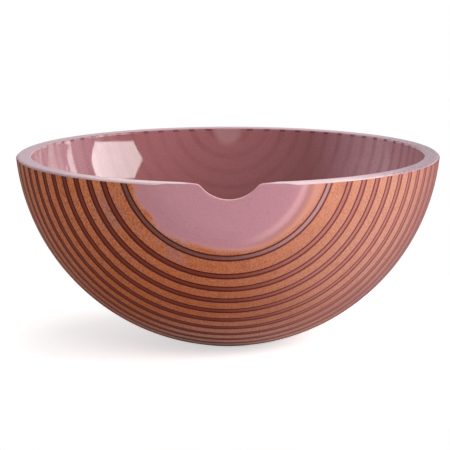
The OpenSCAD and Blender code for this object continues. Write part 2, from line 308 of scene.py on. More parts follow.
class Material(Build):
    """A node material on the Principled shader."""

    def __init__(self, name, **sockets):
        self.data = bpy.data.materials.new(name)
        self.data.use_nodes = True
        self.tree = self.data.node_tree
        self.shader = self.tree.nodes["Principled BSDF"]
        self.set(**sockets)

    def set(self, **sockets):
        """Sets or links the shader's sockets, and gives the finished material."""
        for key, value in sockets.items():
            self.feed(self.shader.inputs[key.replace("_", " ")], value)
        return self.data

    def show(self, surface):
        """Puts a shader on the surface in place of the Principled one, and gives the finished material."""
        self.feed(self.tree.nodes["Material Output"].inputs["Surface"], surface)
        return self.data

    def object_coords(self):
        return self.make("ShaderNodeTexCoord", out="Object")

    def attribute(self, name):
        return self.make("ShaderNodeAttribute", {"attribute_name": name}, out="Fac")

    def noise(self, scale, detail, roughness=0.5, vector=None):
        return self.make("ShaderNodeTexNoise", Vector=vector or self.object_coords(), Scale=scale,
                         Detail=detail, Roughness=roughness)

    def mix(self, factor, first, second):
        """A colour from the first to the second."""
        made = self.node("ShaderNodeMix", data_type="RGBA")
        for number, value in ((0, factor), (6, first), (7, second)):
            self.feed(made.inputs[number], value)
        return Socket(self, made.outputs[2])

    def finish(self, base, rough, grain, strength, reach):
        """The finished material, from its colour, its roughness and the grain that its bump follows."""
        bump = self.make("ShaderNodeBump", Height=grain, Strength=strength, Distance=reach)
        return self.set(Base_Color=base, Roughness=rough.clamp(), Normal=bump)


class GeometryTree(Build):
    """A Geometry Nodes tree that makes one mesh from named numbers."""

    def __init__(self, name, **numbers):
        self.name = name
        self.numbers = {}
        self.tree = bpy.data.node_groups.new(name, "GeometryNodeTree")
        interface = self.tree.interface
        interface.new_socket("Geometry", in_out="OUTPUT", socket_type="NodeSocketGeometry")
        entry = {}
        for key, number in numbers.items():
            kind = "NodeSocketInt" if isinstance(number, int) else "NodeSocketFloat"
            label = key.replace("_", " ").capitalize()
            socket = interface.new_socket(label, in_out="INPUT", socket_type=kind)
            self.numbers[socket.identifier] = number
            entry[key] = label
        group = self.node("NodeGroupInput")
        self.inputs = {key: Socket(self, group.outputs[label]) for key, label in entry.items()}

    def grid(self, columns, rows):
        """A grid of points with x from -1 to 1 over its columns and y from -0.5 to 0.5 over its rows."""
        return self.make("GeometryNodeMeshGrid", Size_X=2.0, Size_Y=1.0, Vertices_X=columns, Vertices_Y=rows)

    def position(self):
        return self.split(self.make("GeometryNodeInputPosition"))

    def store(self, geometry, name, value, kind="FLOAT", domain="POINT"):
        return self.make("GeometryNodeStoreNamedAttribute", {"data_type": kind, "domain": domain},
                         Geometry=geometry, Name=name, Value=value)

    def stored(self, name, kind="FLOAT"):
        return self.make("GeometryNodeInputNamedAttribute", {"data_type": kind}, Name=name)

    def moved(self, geometry, x, y, z):
        """The geometry with its points at x, y, z."""
        return self.make("GeometryNodeSetPosition", Geometry=geometry, Position=self.combine(x, y, z))

    def choose(self, index, values):
        """The value with the given number."""
        made = self.node("GeometryNodeIndexSwitch", data_type="FLOAT")
        while len(made.index_switch_items) < len(values):
            made.index_switch_items.new()
        self.feed(made.inputs["Index"], index)
        for socket, value in zip(list(made.inputs)[1:], values):
            socket.default_value = value
        return Socket(self, made.outputs[0])

    def mesh(self, geometry, material):
        """The tree's result as a plain mesh."""
        real = self.make("GeometryNodeRealizeInstances", Geometry=geometry)
        done = self.make("GeometryNodeSetMaterial", Geometry=real, Material=material)
        self.feed(self.node("NodeGroupOutput").inputs[0], done)
        host = linked(self.name, bpy.data.meshes.new(self.name))
        modifier = host.modifiers.new(self.name, "NODES")
        modifier.node_group = self.tree
        for identifier, number in self.numbers.items():
            modifier[identifier] = number
        graph = bpy.context.evaluated_depsgraph_get()
        made = bpy.data.meshes.new_from_object(host.evaluated_get(graph), depsgraph=graph)
        bpy.data.objects.remove(host)
        if not made.polygons:
            raise RuntimeError(self.name + " made no faces")
        return made


# ---- mesh helpers ----

def grid_piece(name, points, close_u=False, close_v=False, keep=None, attributes=None, capped=False):
    """An object from a grid of points (u, v, xyz). keep is a mask of the vertices that count as outside
    a cut: a face stays if one of its corners is kept. capped closes the open ends."""
    nu, nv = points.shape[:2]
    index = np.arange(nu * nv).reshape(nu, nv)
    ui = np.arange(nu if close_u else nu - 1)
    vi = np.arange(nv if close_v else nv - 1)
    a = index[np.ix_(ui, vi)]
    b = index[np.ix_((ui + 1) % nu, vi)]
    c = index[np.ix_((ui + 1) % nu, (vi + 1) % nv)]
    d = index[np.ix_(ui, (vi + 1) % nv)]
    faces = np.stack([a, b, c, d], -1).reshape(-1, 4)
    if keep is not None:
        faces = faces[keep.reshape(-1)[faces].any(1)]
    mesh = bpy.data.meshes.new(name)
    mesh.from_pydata(points.reshape(-1, 3).tolist(), [], faces.tolist())
    for key, values in (attributes or {}).items():
        layer = mesh.attributes.new(key, "FLOAT", "POINT")
        layer.data.foreach_set("value", np.ascontiguousarray(values, dtype=np.float32).reshape(-1))
    return piece_from(name, mesh, capped=capped)


def linked(name, data):
    """A new object in the scene."""
    obj = bpy.data.objects.new(name, data)
    bpy.context.scene.collection.objects.link(obj)
    return obj


def piece_from(name, mesh, capped=False):
    """An object with merged points, outward normals and smooth shading up to the sharp angle."""
    bm = bmesh.new()
    bm.from_mesh(mesh)
    bmesh.ops.remove_doubles(bm, verts=bm.verts, dist=MERGE)
    loose = [v for v in bm.verts if not v.link_faces]
    bmesh.ops.delete(bm, geom=loose, context="VERTS")
    if capped:
        bmesh.ops.holes_fill(bm, edges=[e for e in bm.edges if e.is_boundary], sides=0)
    bmesh.ops.recalc_face_normals(bm, faces=bm.faces)
    bm.to_mesh(mesh)
    bm.free()
    mesh.polygons.foreach_set("use_smooth", [True] * len(mesh.polygons))
    mesh.set_sharp_from_angle(angle=SHARP)
    return linked(name, mesh)


def lathe(profile, turns):
    """Grid points of a profile [(r, z), ...] turned about Z."""
    rz = np.array(profile)
    a = np.linspace(0, 2 * np.pi, turns, endpoint=False)[:, None]
    return np.stack([rz[None, :, 0] * np.cos(a), rz[None, :, 0] * np.sin(a),
                     np.broadcast_to(rz[None, :, 1], (turns, len(rz)))], -1)


def rounded(profile, radii, steps):
    """A profile with its corners rounded: radii holds one radius for each corner, and 0 leaves it sharp."""
    out = []
    for i, radius in enumerate(radii):
        if radius <= 0:
            out.append(profile[i])
            continue
        before, corner, after = (np.array(profile[k % len(profile)], float) for k in (i - 1, i, i + 1))
        u, v = before - corner, after - corner
        lu, lv = np.linalg.norm(u), np.linalg.norm(v)
        u, v = u / lu, v / lv
        half = math.acos(float(np.clip(u @ v, -1.0, 1.0))) / 2
        cut = min(radius / math.tan(half), 0.49 * lu, 0.49 * lv)
        radius = cut * math.tan(half)
        centre = corner + (u + v) / np.linalg.norm(u + v) * (radius / math.sin(half))
        start, end = corner + u * cut - centre, corner + v * cut - centre
        first, last = math.atan2(start[1], start[0]), math.atan2(end[1], end[0])
        turn = (last - first + math.pi) % (2 * math.pi) - math.pi
        angles = [first + turn * k / steps for k in range(steps + 1)]
        out += [(centre[0] + radius * math.cos(a), centre[1] + radius * math.sin(a)) for a in angles]
    return out


def place(obj, body, slot, material, *nodes):
    """Finishes one piece: its material, the body that it rides on and the CAD nodes that it stands for."""
    obj.data.materials.clear()
    obj.data.materials.append(material)
    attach(obj, body)
    if nodes:
        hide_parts(*nodes)
    return obj


# ---- the bowl's form ----

class Form:
    """Levels and radii that the bowl, its overlay and its rings share."""

    def __init__(self, s):
        self.s = s
        self.sphere = math.hypot(s.rim_diameter / 2, s.centre_rise)
        self.glass = self.sphere - s.overlay
        self.inner = self.sphere - s.wall
        self.centre = s.foot_z + math.sqrt(self.sphere ** 2 - (s.foot_diameter / 2) ** 2)
        self.rim = self.centre - s.centre_rise
        self.overlay_top = self.rim - s.rim_round
        self.seat = self.centre - math.sqrt(self.inner ** 2 - (s.hole_diameter / 2) ** 2) + 0.0002
        self.last_front = s.second_ring + (s.front_rings - 1) * s.front_pitch
        self.rings = [s.first_ring] + [s.second_ring + i * s.front_pitch for i in range(s.front_rings)]
        self.rings += [self.last_front + i * s.back_pitch for i in range(1, s.back_rings + 1)]
        tilt, turn = s.axis_tilt, s.axis_turn
        level = math.cos(tilt)
        self.axis = np.array([-level * math.sin(turn), -level * math.cos(turn), math.sin(tilt)])
        self.aside = np.array([math.cos(turn), -math.sin(turn), 0.0])
        self.upright = np.cross(self.axis, self.aside)
        self.half_ring = s.ring_width / self.sphere / 2
        up, span = s.notch_radius - s.notch_depth, s.notch_radius + s.notch_shoulder
        self.side = math.sqrt(span ** 2 - (up + s.notch_shoulder) ** 2)
        self.run = self.side + s.notch_flank
        rim_inner = math.sqrt(self.inner ** 2 - s.centre_rise ** 2)
        far = s.rim_diameter / 2 - math.sqrt(rim_inner ** 2 - (self.run + abs(s.notch_offset)) ** 2)
        self.lift = far * math.tan(s.notch_slope) + 0.0001
        ground = s.eye - s.ground_margin
        rise = self.glass * (1 - math.cos(ground)) - s.ground_depth
        self.lens = ((self.glass * math.sin(ground)) ** 2 + rise ** 2) / (2 * rise)
        self.lens_centre = self.axis * (self.glass - s.ground_depth - self.lens)
        self.lens_centre[2] += self.centre

    def profile(self, x):
        """Height of the notch's cut over the rim at x, at the front of the bowl."""
        s = self.s
        up, span, side = s.notch_radius - s.notch_depth, s.notch_radius + s.notch_shoulder, self.side
        tangent = side * s.notch_radius / span
        dx = np.abs(x - s.notch_offset)
        scoop = np.sqrt(np.maximum(s.notch_radius ** 2 - dx ** 2, 0)) - up
        inside = np.maximum(side - dx, 0)
        shoulder = s.notch_shoulder - np.sqrt(np.maximum(s.notch_shoulder ** 2 - inside ** 2, 0))
        ground = self.lift * (dx - side) / s.notch_flank
        return np.where(dx <= tangent, -scoop, np.where(dx < side, -shoulder, ground))

    def top(self, x, y):
        """Height of the rim's face, with the notch that slopes down into the bowl."""
        s = self.s
        cut = self.profile(x) / math.cos(s.notch_slope) - (y + s.rim_diameter / 2) * math.tan(s.notch_slope)
        at_notch = (y < 0) & (np.abs(x - s.notch_offset) < self.run)
        return self.rim + np.where(at_notch, np.minimum(cut, 0.0), 0.0)

    def radius_at(self, sphere, z):
        """Level radius of a sphere about the bowl's centre, at a height z."""
        return np.sqrt(sphere ** 2 - (self.centre - z) ** 2)

    def outside(self, sx, sy, z):
        """Radius of the glass's outside at a height z, along the level direction (sx, sy)."""
        cx, cy, cz = self.lens_centre
        along = sx * cx + sy * cy
        ground = along + np.sqrt(along ** 2 - cx ** 2 - cy ** 2 + self.lens ** 2 - (z - cz) ** 2)
        return np.minimum(self.radius_at(self.glass, z), ground)

    def on_front_axis(self, radius, alpha, beta):
        """Points at an angle alpha from the rings' axis, turned by beta about it from straight down."""
        around = radius * np.sin(alpha)
        parts = np.broadcast_arrays(radius * np.cos(alpha), around * np.sin(beta), around * np.cos(beta))
        along, out, down = parts
        points = along[..., None] * self.axis + out[..., None] * self.aside - down[..., None] * self.upright
        points[..., 2] += self.centre
        return points

    def to_the_rim(self, radius, alpha, steps):
        """Angles beta, for each pair of radius and alpha, from the rim's left side under to its right."""
        level = self.centre - self.overlay_top + radius * np.cos(alpha) * self.axis[2]
        limit = np.arccos(np.clip(level / (radius * np.sin(alpha) * self.upright[2]), -1, 1))
        return np.linspace(-1, 1, steps)[:, None] * limit

    def on_foot(self, points, radius):
        """The points with those under the foot brought to its edge, and which of them weren't."""
        foot = np.sqrt(np.maximum(radius ** 2 - (self.centre - self.s.foot_z) ** 2, 1e-12))
        flat = np.hypot(points[..., 0], points[..., 1])
        under = flat < foot
        scale = np.where(under, foot / np.maximum(flat, 1e-6), 1.0)
        points[..., 0] *= scale
        points[..., 1] *= scale
        points[..., 2] = np.where(under, self.s.foot_z, points[..., 2])
        return points, ~under


def front_columns(around, notch, half):
    """Angles round the bowl from the front, closer together over the notch."""
    fine = np.linspace(-half, half, notch, endpoint=False)
    coarse = np.linspace(half, 2 * math.pi - half, around, endpoint=False)
    return np.concatenate([fine, coarse])


def bowl_grid(form):
    """The glass as a closed grid, with its "lip": the way along the profile from the rim's inner edge,
    where the rim itself is stretched to one width all round."""
    s = form.s
    phi = front_columns(around=460, notch=110, half=math.radians(11.5))[:, None]
    sx, sy = np.sin(phi), -np.cos(phi)
    arris = np.radians(np.linspace(0, 90, 7))[None, :]
    at_notch = np.clip((np.abs(form.inner * sx - s.notch_offset) - form.side) / s.notch_flank, 0, 1)
    open_front = np.where(sy < 0, at_notch, 1.0)
    ground = form.radius_at(form.glass, form.rim) - form.outside(sx, sy, form.rim + 0 * phi)

    def edge(radius, sign, rho):
        """The rim's rounded edge on a wall whose radius is a function of the height, found in a few steps."""
        r = radius(form.rim + 0 * phi) + 0 * arris
        for _ in range(6):
            wall = radius(form.top(r * sx, r * sy) - rho)
            r = wall + sign * rho * (1 - np.cos(arris))
        return r, form.top(r * sx, r * sy) - rho * (1 - np.sin(arris))

    ri, zi = edge(lambda z: form.radius_at(form.inner, z), 1, BREAK + (s.rim_round - BREAK) * open_front)
    ro, zo = edge(lambda z: form.outside(sx, sy, z), -1, np.maximum(s.rim_round - ground, BREAK))
    t = np.linspace(0, 1, 9)[None, 1:-1]
    rt = ri[:, -1:] + (ro[:, -1:] - ri[:, -1:]) * t
    zt = form.top(rt * sx, rt * sy)
    t0 = math.asin(s.seat_radius / form.inner)
    t1 = np.arccos((form.centre - zi[:, :1]) / form.inner)
    ti = t0 + (t1 - t0) * np.linspace(0, 1, 56)[None, :-1]
    t2 = np.arccos((form.centre - zo[:, :1]) / form.glass)
    t3 = math.acos((form.centre - s.foot_z) / form.glass)
    to = t2 + (t3 - t2) * np.linspace(0, 1, 54)[None, 1:]
    foot, hole = form.glass * math.sin(t3), s.hole_diameter / 2
    low_z = form.centre - form.inner * math.cos(t0)
    below = [(foot - 0.006, s.foot_z), (hole + BREAK, s.foot_z), (hole, s.foot_z + BREAK)]
    seat = [(hole, form.seat - BREAK), (hole + BREAK, form.seat), (s.seat_radius - CORNER, form.seat),
            (s.seat_radius, form.seat + CORNER), (s.seat_radius, low_z - CORNER)]
    ends = np.array(below + seat)
    er, ez = (np.broadcast_to(ends[None, :, k], (len(phi), len(ends))) for k in (0, 1))
    side_z = form.centre - form.glass * np.cos(to)
    r = np.concatenate([form.inner * np.sin(ti), ri, rt, ro[:, ::-1], form.outside(sx, sy, side_z), er], 1)
    z = np.concatenate([form.centre - form.inner * np.cos(ti), zi, zt, zo[:, ::-1], side_z, ez], 1)
    points = np.stack([r * sx, r * sy, z], -1)
    step = np.linalg.norm(np.diff(points, axis=1), axis=-1)
    along = np.concatenate([np.zeros((len(phi), 1)), np.cumsum(step, 1)], 1)
    first = ti.shape[1]
    last = first + ri.shape[1] + rt.shape[1] + ro.shape[1] - 1
    at_inner, at_outer = along[:, first:first + 1], along[:, last:last + 1]
    across = np.clip((along - at_inner) / (at_outer - at_inner), 0, 1)
    lip = np.minimum(along - at_inner, 0) + across * RIM_SPAN + np.maximum(along - at_outer, 0)
    return points, lip


def overlay_zones(form):
    """The overlay between one ring and the next: each zone's closed profile as (radius, angle)."""
    s = form.s
    end = math.pi - math.asin((form.centre - form.overlay_top) / form.sphere) + s.axis_tilt - 0.002
    edges = [s.eye] + [a + sign * form.half_ring for a in form.rings for sign in (-1, 1)] + [end]
    tip = CORNER / form.sphere
    thinnest = 0.00002
    for low, high in zip(edges[::2], edges[1::2]):
        if low == s.eye:
            steps, thick = [k / 8 for k in range(9)], s.overlay - thinnest
            outer = [(form.glass + thinnest + thick * k * k * (3 - 2 * k), low + s.eye_fade * k)
                     for k in steps]
        else:
            outer = [(form.sphere - CORNER, low), (form.sphere, low + tip)]
        start = outer[-1][1]
        outer += [(form.sphere, start + (high - tip - start) * k / 2) for k in (1, 2)]
        outer.append((form.sphere - CORNER, high))
        yield outer + [(form.glass, high), (form.glass, (low + high) / 2), (form.glass, low)]


def ring_bands(form, material):
    """The dark bands: one cross-section swept round the rings' axis from rim to rim, once for each ring."""
    s = form.s
    # the cross-section, in halves of the ring's width and in thicknesses of the band
    cross = [(-0.995, 0.0), (-0.995, 0.75), (-0.93, 1.0), (-0.4, 0.86),
             (0.4, 0.86), (0.93, 1.0), (0.995, 0.75), (0.995, 0.0), (-0.995, 0.0)]
    tree = GeometryTree("ring_bands", glass_radius=form.glass, half_ring=form.half_ring,
                        centre_height=form.centre, band_top=form.overlay_top, foot_height=s.foot_z,
                        band_thickness=s.band,
                        first_ring=s.first_ring, second_ring=s.second_ring, front_pitch=s.front_pitch,
                        back_pitch=s.back_pitch, front_rings=s.front_rings, back_rings=s.back_rings,
                        axis_tilt=s.axis_tilt, axis_turn=s.axis_turn, steps=AROUND)
    i = tree.inputs
    strip = tree.grid(i["steps"], len(cross))
    rings = i["front_rings"] + i["back_rings"] + 1.0
    line = tree.make("GeometryNodeMeshLine", Count=rings, Offset=(0, 0, 0))
    strips = tree.make("GeometryNodeInstanceOnPoints", Points=line, Instance=strip)
    strips = tree.store(strips, "ring", tree.make("GeometryNodeInputIndex"), domain="INSTANCE")
    bands = tree.make("GeometryNodeRealizeInstances", Geometry=strips)

    # each ring's angle from the axis
    number = tree.stored("ring") - 1.0
    last = i["front_rings"] - 1.0
    even = i["second_ring"] + number.minimum(last) * i["front_pitch"]
    even = even + (number - last).maximum(0.0) * i["back_pitch"]
    at = even + (i["first_ring"] - even) * number.below(-0.5)

    # each point's place round the axis
    u, v, _ = tree.position()
    row = ((v + 0.5) * float(len(cross) - 1) + 0.5).floor()
    alpha = at + tree.choose(row, [width for width, _ in cross]) * i["half_ring"]
    radius = i["glass_radius"] + tree.choose(row, [height for _, height in cross]) * i["band_thickness"]
    tilt_cos, tilt_sin = i["axis_tilt"].cos(), i["axis_tilt"].sin()
    turn_cos, turn_sin = i["axis_turn"].cos(), i["axis_turn"].sin()
    along, around = radius * alpha.cos(), radius * alpha.sin()
    level = i["centre_height"] - i["band_top"] + along * tilt_sin
    beta = u * (level / (around * tilt_cos)).minimum(1.0).maximum(-1.0).acos()
    out, down = around * beta.sin(), around * beta.cos()
    forward = along * tilt_cos + down * tilt_sin
    x = out * turn_cos - forward * turn_sin
    y = -(out * turn_sin + forward * turn_cos)
    z = along * tilt_sin - down * tilt_cos + i["centre_height"]

    # what would hang under the foot goes, and its neighbours end on the foot's edge
    drop = i["centre_height"] - i["foot_height"]
    foot = (radius * radius - drop * drop).maximum(1e-12).power(0.5)
    flat = (x * x + y * y).power(0.5).maximum(1e-6)
    under = flat.below(foot)
    scale = (foot / flat - 1.0) * under + 1.0
    bands = tree.store(bands, "under", under, kind="BOOLEAN")
    bands = tree.moved(bands, x * scale, y * scale, z + (i["foot_height"] - z) * under)
    bands = tree.make("GeometryNodeDeleteGeometry", {"domain": "FACE"}, Geometry=bands,
                      Selection=tree.stored("under", "BOOLEAN"))
    return tree.mesh(bands, material)


def shank_thread(s, low, high, material):
    """The shank's thread: a strip round it whose radius follows the helix and runs out at both ends."""
    rows = int((high - low) / s.thread_pitch * 8) + 1
    tree = GeometryTree("shank_thread", shank_radius=s.shank_radius, thread_depth=s.thread_depth,
                        thread_pitch=s.thread_pitch, thread_start=low, thread_end=high,
                        columns=TURNS + 1, rows=rows)
    i = tree.inputs
    u, v, _ = tree.position()
    z = i["thread_start"] + (v + 0.5) * (i["thread_end"] - i["thread_start"])
    turn = (u + 1.0) * math.pi
    phase = z / i["thread_pitch"] - turn / (2 * math.pi)
    flank = ((phase - phase.floor() - 0.5).abs() * 2.6 - 0.15).clamp()
    fade = (z - i["thread_start"]).ramp(0.0, 0.002) * (i["thread_end"] - z).ramp(0.0, 0.003)
    radius = i["shank_radius"] - i["thread_depth"] * flank * fade
    strip = tree.moved(tree.grid(i["columns"], i["rows"]), radius * turn.cos(), radius * turn.sin(), z)
    return tree.mesh(strip, material)


def coil_spring(s, low, high, material):
    """The spring between two levels: a wire swept along a helix with closed ends."""
    tree = GeometryTree("coil_spring", coil_radius=s.coil_radius, wire_radius=s.wire_radius, coils=s.coils,
                        closed_share=0.07, spring_low=low + s.wire_radius, spring_high=high - s.wire_radius,
                        points=s.coils * 32, wire_sides=12)
    i = tree.inputs
    line = tree.make("GeometryNodeCurvePrimitiveLine")
    line = tree.make("GeometryNodeResampleCurve", Curve=line, Count=i["points"])
    along = tree.make("GeometryNodeSplineParameter")
    turn = along * i["coils"] * (2 * math.pi)
    climb = ((along - i["closed_share"]) / (1.0 - i["closed_share"] * 2.0)).clamp()
    helix = tree.moved(line, i["coil_radius"] * turn.cos(), i["coil_radius"] * turn.sin(),
                       i["spring_low"] + climb * (i["spring_high"] - i["spring_low"]))
    circle = tree.make("GeometryNodeCurvePrimitiveCircle", Resolution=i["wire_sides"],
                       Radius=i["wire_radius"])
    wire = tree.make("GeometryNodeCurveToMesh", Curve=helix, Profile_Curve=circle, Fill_Caps=True)
    return tree.mesh(wire, material)


def joined(name, objects):
    """One object from several."""
    bm = bmesh.new()
    for obj in objects:
        bm.from_mesh(obj.data)
        bpy.data.objects.remove(obj)
    mesh = bpy.data.meshes.new(name)
    bm.to_mesh(mesh)
    bm.free()
    return piece_from(name, mesh)


# ---- materials ----

def direction(turn, rise):
    """A unit vector, turn degrees round from the front to the right and rise degrees up."""
    t, e = math.radians(turn), math.radians(rise)
    return Vector((math.sin(t) * math.cos(e), -math.cos(t) * math.cos(e), math.sin(e)))


def distance(x, y, z, point):
    """How far x, y, z lies from a fixed point."""
    dx, dy, dz = x - point[0], y - point[1], z - point[2]
    return (dx * dx + dy * dy + dz * dz).power(0.5)


def front_angle(form, x, y, z):
    """The angle of x, y, z from the rings' axis, seen from the sphere's centre."""
    ax, ay, az = (float(v) for v in form.axis)
    return ((x * ax + y * ay + (z - form.centre) * az) / distance(x, y, z, (0.0, 0.0, form.centre))).acos()


def ring_wave(form, alpha):
    """Distance in metres along the surface to the nearest ring's middle."""
    s = form.s

    def nearest(start, pitch):
        steps = (alpha - start) / pitch
        return (steps - (steps + 0.5).floor()).abs() * pitch

    at_back = alpha.ramp(form.last_front - 0.0001, form.last_front + 0.0001)
    front, back = nearest(s.second_ring, s.front_pitch), nearest(form.last_front, s.back_pitch)
    even = front + (back - front) * at_back
    even = even.maximum((s.second_ring - s.front_pitch * 0.5 - alpha).maximum(0.0) * 60.0)
    return even.minimum((alpha - s.first_ring).abs()) * form.sphere


def eye_tint(m, form, c, past, x, z):
    """Rose of the open eye and of the overlay's thin edge, by the angle past the eye's edge. On the right a
    painted highlight arc with painted shade outside it follows the edge, and drifts outwards lower down."""
    right = x.ramp(0.0, 0.05)
    drift = ((form.rim - 0.0044 - z) * 0.6).maximum(0.0).minimum(0.03)
    rose = m.mix(((m.noise(9.0, 4.0, 0.55) - 0.5) * 0.8 + 0.3).clamp(), c.eye, [v * 0.84 for v in c.eye])
    rose = m.mix(m.noise(520.0, 3.0, 0.75).ramp(0.42, 0.66) * 0.5, rose, [v * 0.78 for v in c.eye])
    blush = m.noise(16.0, 3.0, 0.6).ramp(0.46, 0.70) * x.ramp(0.02, -0.05)
    rose = m.mix(blush * 0.3, rose, c.salmon)
    rose = m.mix((past - (drift - 0.035) * right).ramp(0.0419, 0.0659), rose, c.salmon)
    # painted shade outside the pale arc
    shade = (past - drift - 0.0233).abs().ramp(0.018, 0.004) * right
    rose = m.mix(shade * 0.4, rose, c.salmon_shade)
    # painted highlight: the pale arc along the eye's right edge
    arc = (past - drift + 0.0087).abs().ramp(0.024, 0.002) * right
    return m.mix(arc * 0.36, rose, c.eye_highlight)


def inside_tint(m, form, c, wave, x, y, z):
    """Rose of the inside, deeper low down, paler near both ends with painted light, with the ghosts of the
    rings and the pale spot at the back.
    """
    half = form.s.ring_width / 2
    depth = (form.rim - z) / form.rim
    tint = m.mix((depth * 1.2 + (m.noise(9.0, 4.0, 0.55) - 0.5) * 0.5).clamp(), c.inside, c.inside_deep)
    # painted light: the inside paler towards its left and right ends
    tint = m.mix(x.ramp(-0.10, -0.19) * 0.85, tint, c.inside_lit_left)
    tint = m.mix(x.ramp(0.08, 0.17), tint, c.inside_lit_right)
    ghost = wave.ramp(half * 1.5, half * 0.4) * (m.noise(22.0, 3.0) * 1.6 - 0.4).clamp()
    tint = m.mix(ghost * 0.45, tint, c.inside_deep)
    tint = m.mix(m.noise(700.0, 3.0, 0.7).ramp(0.42, 0.7) * 0.3, tint, c.inside_deep)
    spot = Vector((0.0, 0.0, form.centre)) + direction(180, -7) * form.inner
    return m.mix(distance(x, y, z, spot).ramp(0.018, 0.009) * 0.7, tint, c.spot)


def rim_tint(m, form, c, lip, x, y):
    """The ground rim, greyer to the sides and the back, with dark streaks across it."""
    tint = m.mix(y.ramp(-0.19, -0.11), c.rim, c.rim_grey)
    across = m.combine(y.make_angle(x) * 110.0, lip * 0.05, 0.0)
    streaks = m.noise(3.0, 4.0, 0.7, across).ramp(0.40, 0.62)
    share = x.ramp(0.10, 0.19) * 0.85 + x.ramp(-0.10, -0.19) * 0.25 + 0.12
    tint = m.mix(streaks * share, tint, c.rim_dark)
    in_notch = (x - form.s.notch_offset).abs().ramp(form.run, form.side) * y.ramp(-0.15, -0.17)
    tint = m.mix(in_notch, tint, c.notch)
    return m.mix(x.ramp(0.15, 0.205) * 0.32, tint, c.rim_dark)


def glass_material(form, c):
    """Rose glass, polished inside and ground on the rim. The "lip", in millimetres here, tells them apart."""
    m = Material("rose_glass", IOR=1.5, Specular_IOR_Level=0.2)
    x, y, z = m.split(m.object_coords())
    alpha = front_angle(form, x, y, z)
    wave = ring_wave(form, alpha)
    half = form.s.ring_width / 2
    lip = m.attribute("lip") * 1000.0
    rim_end = RIM_SPAN * 1000
    on_rim, on_outside = lip.ramp(1.3, 2.2), lip.ramp(rim_end - 0.6, rim_end + 0.2)
    dash = wave.ramp(half * 1.1, half * 0.85) * (lip - 0.9).abs().ramp(1.9, 1.2) * y.ramp(0.02, 0.1)
    inside = m.mix(dash * 0.6, inside_tint(m, form, c, wave, x, y, z), c.band_edge)
    base = m.mix(on_rim, inside, rim_tint(m, form, c, lip, x, y))
    base = m.mix(on_outside, base, eye_tint(m, form, c, alpha - form.s.eye, x, z))
    grain = m.noise(1400.0, 2.0, 0.6)
    rough = 0.05 + on_rim * 0.3 + on_outside * 0.1 + (grain - 0.5) * 0.06
    return m.finish(base, rough, grain * on_outside, 0.12, 0.0002)


def amber_tint(m, form, c, alpha, speck, x, z):
    """The overlay's mottled amber: deeper low down, paler to the right with painted sheen, patched on the
    left, and darker towards both sides with painted shade.
    """
    low = (1.0 - z / form.rim).clamp()
    left, right = x.ramp(0.03, -0.05), x.ramp(0.0, 0.11)
    tint = m.mix((low * 1.4 + (m.noise(14.0, 4.0, 0.6) - 0.5) * 0.5).clamp(), c.amber, c.amber_deep)
    # painted sheen: paler and rosier towards the lit right
    tint = m.mix(x.ramp(-0.05, 0.2) * (0.6 + low * 0.4), tint, c.amber_sheen)
    tint = m.mix(z.ramp(0.06, 0.005) * 0.75, tint, c.amber_low)
    # bright and veiled patches beside the eye
    warm = m.noise(17.0, 4.0, 0.65)
    tint = m.mix(warm.ramp(0.50, 0.66) * left * 0.55, tint, c.amber_bright)
    near_eye = alpha.ramp(math.radians(46), math.radians(31))
    veil = warm.ramp(0.52, 0.36) * near_eye * left * z.ramp(0.06, 0.14)
    blotch = m.noise(230.0, 3.0, 0.7).ramp(0.52, 0.68)
    tint = m.mix((veil + blotch * 0.45).clamp() * 0.7, tint, c.veil)
    # grain: brown, pale and dark
    patch = m.noise(60.0, 5.0, 0.7).ramp(0.5, 0.75)
    brown = speck.ramp(0.42, 0.68) * (0.7 - right * 0.3) + patch * 0.25
    tint = m.mix(brown.clamp(), tint, c.amber_brown)
    tint = m.mix(m.noise(700.0, 3.0, 0.7).ramp(0.52, 0.68) * (left * 0.2 + 0.5), tint, c.salmon)
    dark = m.noise(430.0, 2.0, 0.8).ramp(0.54, 0.66) * (x.ramp(0.02, -0.12) * 0.45 + 0.12)
    tint = m.mix(dark, tint, c.band_edge)
    # painted shade: darker towards both sides, browner on the left and dark mauve at the far right
    side = alpha.ramp(math.radians(52), math.radians(84)) * z.ramp(0.01, 0.06)
    tint = m.mix(side * left * 0.4, tint, c.amber_brown)
    return m.mix(side * right * 0.85, tint, c.far_right_shade)


def overlay_material(form, c):
    """Amber overlay with a brushed edge towards the eye and dark lines along the grooves, made lighter to the
    right with painted light.
    """
    m = Material("amber_overlay", IOR=1.45, Specular_IOR_Level=0.02)
    x, y, z = m.split(m.object_coords())
    alpha = front_angle(form, x, y, z)
    speck = m.noise(620.0, 4.0, 0.75)
    left, right = x.ramp(0.03, -0.05), x.ramp(0.0, 0.11)
    brush = (m.noise(34.0, 5.0, 0.7) - 0.5) * (x.ramp(0.02, -0.05) * 0.10 + 0.02)
    past = alpha - form.s.eye + brush
    into = (past - x.ramp(0.0, 0.05) * 0.005 + left * 0.006).ramp(0.0513, 0.0833)
    base = m.mix(into, eye_tint(m, form, c, past, x, z), amber_tint(m, form, c, alpha, speck, x, z))
    half = form.s.ring_width / 2
    edge = ring_wave(form, alpha).ramp(half + 0.0008, half + 0.0001)
    # painted light: the groove lines lighter towards the lit right
    base = m.mix(edge * (0.9 - right * 0.3), base, m.mix(right * 0.7, c.band_edge, c.band_edge_lit))
    return m.finish(base, 0.5 + (speck - 0.5) * 0.12, speck, 0.16, 0.0003)


